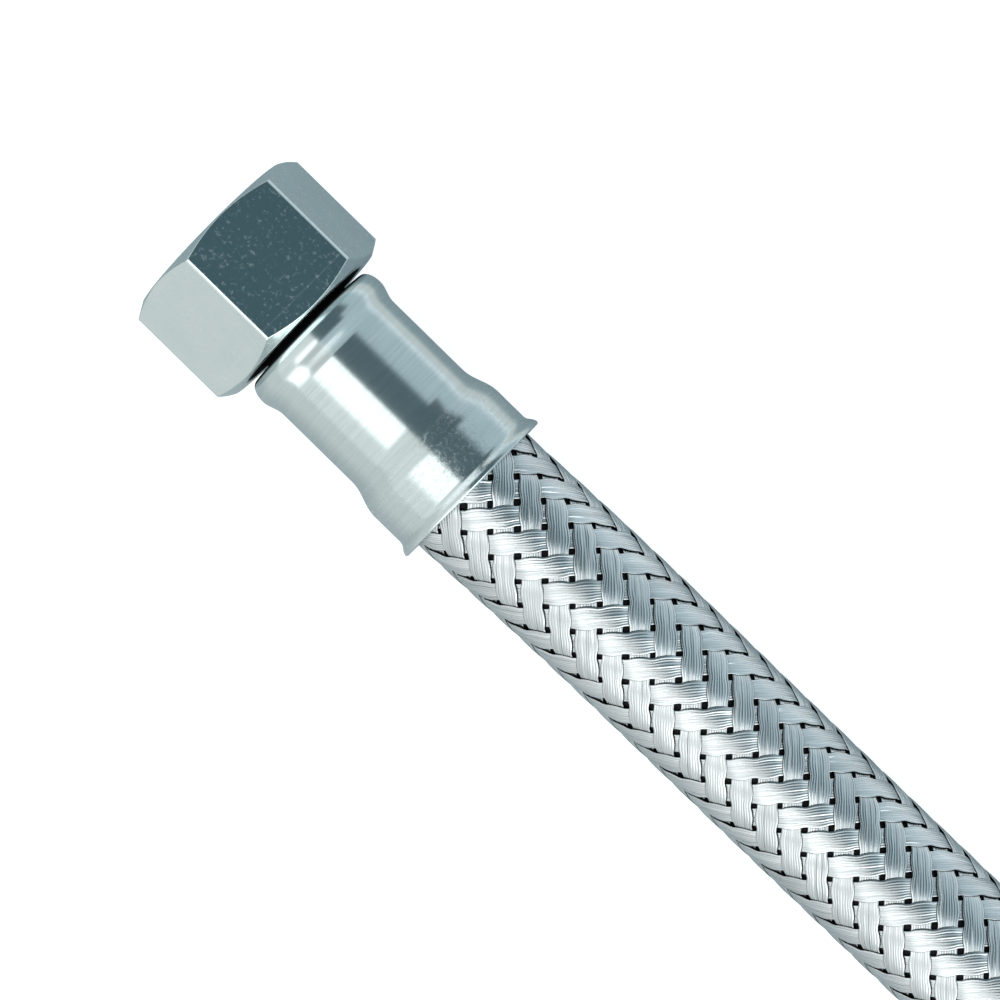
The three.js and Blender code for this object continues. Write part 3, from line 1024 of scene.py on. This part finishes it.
def gasket_outline():
    """A flat ring with four rounded edges, a quarter turn each."""
    front, rear = gasket_front + EDGE, gasket_rear - EDGE
    outer, inner = gasket_radius - EDGE, GASKET_BORE + EDGE
    outline = []
    for i, centre in enumerate([(front, outer), (rear, outer), (rear, inner), (front, inner)]):
        outline += arc(centre, EDGE, EDGE, 180 - 90 * i, 90 - 90 * i, steps=4)
    return outline


for side in ("left", "right"):
    brass = turned(f"brass_insert_{side}", insert_outline(), side, HIDDEN_COLUMNS)
    dress(brass, "insert_brass", "hose", f"insert_{side}")
    washer = turned(f"flat_gasket_{side}", gasket_outline(), side, HIDDEN_COLUMNS)
    dress(washer, "gasket_rubber", "hose", f"gasket_{side}")

# %% [markdown]
# The nut is a hexagonal bar turned at both ends. Where the turned cone meets the flats it leaves the
# curved chamfer line of every nut. A hexagonal prism cut by two cones would show it too, but the cut
# edges would be hard to round. Here the net's columns are angles round the axis, dense at the six
# corners. In each column the profile is known exactly, face, cone, flat, cone, so no cutting is needed,
# and every corner of the profile gets a small round that catches the light. Inside, the same columns
# carry the screw thread.

# %% Nut columns
NUT_SIDES = 6
CORNER_TURN = math.pi / NUT_SIDES
CORNER_HALF = 0.17 * MM
CORNER_SOFT = 0.17 * MM
FLAT_COLUMNS = 9
ROUND_COLUMNS = 5


def nut_columns():
    """Angles round the nut, and the hexagon's radius at each. A corner is a small rounded facet."""
    half_flat = flats_radius * math.tan(CORNER_TURN)
    facet_end = half_flat - CORNER_HALF * math.tan(CORNER_TURN) * 2
    flat = [(flats_radius, y) for y in np.linspace(0, facet_end - 2 * CORNER_SOFT, FLAT_COLUMNS)]
    bend = np.array([flats_radius, facet_end])
    before = np.array([0, -1])
    after = np.array([-math.sin(CORNER_TURN), math.cos(CORNER_TURN)])
    for share in np.linspace(0, 1, ROUND_COLUMNS):
        flat.append(tuple(bend + CORNER_SOFT * (before * (1 - share) ** 2 + after * share**2)))
    sector = np.array(flat)
    angle = np.arctan2(sector[:, 1], sector[:, 0])
    radius = np.hypot(sector[:, 0], sector[:, 1])
    angles, radii = [], []
    for i in range(NUT_SIDES):
        middle = i * 2 * CORNER_TURN
        angles += [middle - angle[:0:-1], middle + angle]
        radii += [radius[:0:-1], radius]
    return np.concatenate(angles), np.concatenate(radii)


nut_angle, hexagon_radius = nut_columns()
print(f"nut columns {len(nut_angle)}, corners {2 * hexagon_radius.max() / MM:.2f} mm across")

# %% Nut thread
THREAD_PITCH = 1.814 * MM
THREAD_MAJOR = 10.48 * MM
THREAD_MINOR = 9.32 * MM
THREAD_END = 7.5 * MM
THREAD_FADE = 0.9 * MM
FLANK_STEEPNESS = 1.35
MOUTH_CHAMFER = 0.1 * MM


def thread_radius(along, angle):
    """The internal thread: a rounded ridge that climbs one pitch a turn, open at the mouth."""
    turn = (along / THREAD_PITCH - angle / (2 * math.pi)) % 1
    ridge = np.abs(2 * turn - 1)
    ridge = np.clip(FLANK_STEEPNESS * (ridge - 0.5) + 0.5, 0, 1)
    ridge = ridge * ridge * (3 - 2 * ridge)
    cut = THREAD_MINOR + (THREAD_MAJOR - THREAD_MINOR) * ridge
    fade = np.clip((along - THREAD_END + THREAD_FADE) / THREAD_FADE, 0, 1)
    cut = cut + (THREAD_MINOR - cut) * fade
    return np.maximum(cut, THREAD_MAJOR + MOUTH_CHAMFER - along)


print(f"{THREAD_END / THREAD_PITCH:.1f} turns of thread")

# %% Nut rows
NUT_FACE = 11.7 * MM
CHAMFER_SLOPE = math.tan(math.radians(30))
FACE_ROUND = 0.07 * MM
CHAMFER_ROUND = 0.09 * MM
HELD_FROM = 1.5
SOCKET_DEPTH = 12.4 * MM
NUT_HOLE = 7.0 * MM
THREAD_START = 0.05 * MM
THREAD_ROWS_A_TURN = 16


def rounded_profile(corners, sizes):
    """Rows of a profile with rounded corners. Each corner is (along, radius), one value a column.

    A row just past each round keeps the faces beside it flat in smooth shading.
    """
    rows = [np.stack(corners[0], axis=-1)]
    for before, corner, after, size in zip(corners, corners[1:], corners[2:], sizes):
        here = np.stack(corner, axis=-1)
        back = np.stack(before, axis=-1) - here
        ahead = np.stack(after, axis=-1) - here
        back /= np.linalg.norm(back, axis=-1, keepdims=True)
        ahead /= np.linalg.norm(ahead, axis=-1, keepdims=True)
        rows.append(here + back * size * HELD_FROM)
        for share in (0, 0.25, 0.5, 0.75, 1):
            rows.append(here + back * size * (1 - share) ** 2 + ahead * size * share**2)
        rows.append(here + ahead * size * HELD_FROM)
    rows.append(np.stack(corners[-1], axis=-1))
    return rows


def nut_net(side):
    """The nut's points: out over the mouth's face, along the hexagon, and back inside along the thread."""
    column = np.ones_like(nut_angle)
    chamfer = (hexagon_radius - NUT_FACE) * CHAMFER_SLOPE
    outer = [
        (0 * column, (THREAD_MAJOR + MOUTH_CHAMFER) * column),
        (0 * column, NUT_FACE * column),
        (chamfer, hexagon_radius),
        (nut_length - chamfer, hexagon_radius),
        (nut_length * column, NUT_FACE * column),
        (nut_length * column, NUT_HOLE * column),
    ]
    rows = rounded_profile(outer, [FACE_ROUND, CHAMFER_ROUND, CHAMFER_ROUND, FACE_ROUND])
    socket_corners = [(SOCKET_DEPTH, NUT_HOLE), (SOCKET_DEPTH, THREAD_MINOR), (THREAD_END, THREAD_MINOR)]
    for along, radius in socket_corners:
        rows.append(np.stack([along * column, radius * column], axis=-1))
    for along in np.arange(THREAD_END, THREAD_START, -THREAD_PITCH / THREAD_ROWS_A_TURN):
        rows.append(np.stack([along * column, thread_radius(along, nut_angle)], axis=-1))
    profile = np.array(rows)
    return fitting_points(profile[..., 0], nut_angle[None, :], profile[..., 1], side)


# %% Nuts
for side in ("left", "right"):
    nut = add_mesh(f"plated_nut_{side}", [closed_net(nut_net(side), loop_rows=True)], SHARP_DEGREES)
    dress(nut, "nut_plating", f"nut_{side}", f"swivel_nut_{side}")
